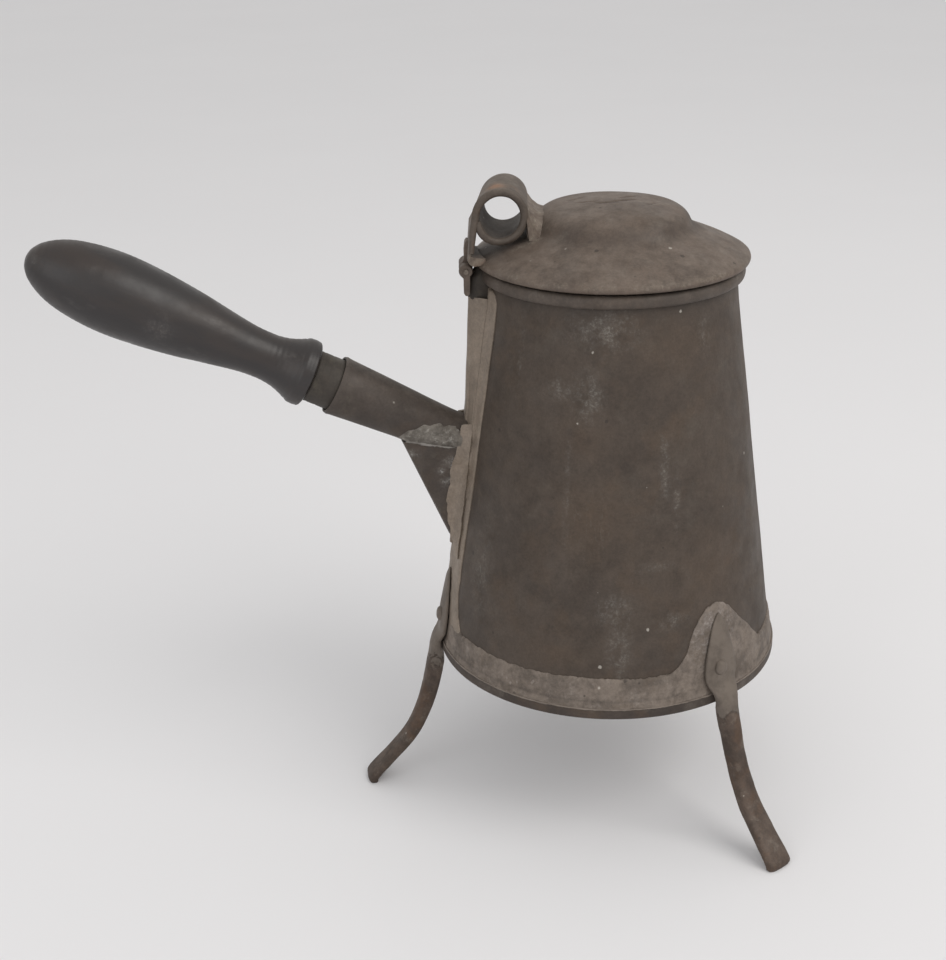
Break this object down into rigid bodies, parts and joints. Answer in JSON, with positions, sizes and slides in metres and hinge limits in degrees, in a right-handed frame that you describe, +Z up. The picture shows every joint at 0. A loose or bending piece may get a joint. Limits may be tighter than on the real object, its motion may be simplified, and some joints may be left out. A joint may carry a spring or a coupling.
{
  "type": "hearth pot",
  "caption": "Tapered sheet-metal hearth pot with a hinged lid, a thumb loop and a side handle, standing on splayed legs.",
  "frame": {"origin": "on the ground plane, under the middle of the overall bounding box", "axes": "+Z up; the handle runs out and up along -X; the lid hinge lies across the handle, 7 degrees off Y"},
  "size_m": [0.2692, 0.1722, 0.2394],
  "materials": {
    "tinned_sheet": "dull, browned",
    "solder": "dull, brushed by wear",
    "forged_iron": "dark, scaled",
    "wood": "satin, blackened"
  },
  "bodies": {
    "vessel": {"body_wall": "tinned_sheet", "rim_roll": "tinned_sheet", "rim_wire": "forged_iron", "base_plate": "tinned_sheet", "solder_band": "solder", "leg_solder_front": "solder", "leg_solder_far": "solder", "leg_solder_handle": "solder", "seam_solder": "solder", "back_spine": "tinned_sheet", "handle_socket": "tinned_sheet", "socket_solder": "solder", "handle_ferrule": "forged_iron", "grip": "wood", "handle_brace": "tinned_sheet", "brace_solder_near": "solder", "brace_solder_far": "solder", "leg_handle_side": "forged_iron", "leg_front_side": "forged_iron", "leg_far_side": "forged_iron", "rivet_handle_side": "forged_iron", "rivet_front_side": "forged_iron", "rivet_far_side": "forged_iron", "hinge_plate": "tinned_sheet", "hinge_pin": "forged_iron"},
    "lid": {"lid_hinge_leaf": "tinned_sheet", "lid_cover": "tinned_sheet", "lid_collar": "tinned_sheet", "thumb_loop": "tinned_sheet", "loop_lip": "tinned_sheet", "loop_solder": "solder"}
  },
  "joints": [
    {"name": "lid_hinge", "type": "hinge", "parent": "vessel", "child": "lid", "pos_m": [0.0166, 0, 0.2093], "axis": [-0.1289, -0.9917, 0], "range_deg": [0, 100]}
  ]
}
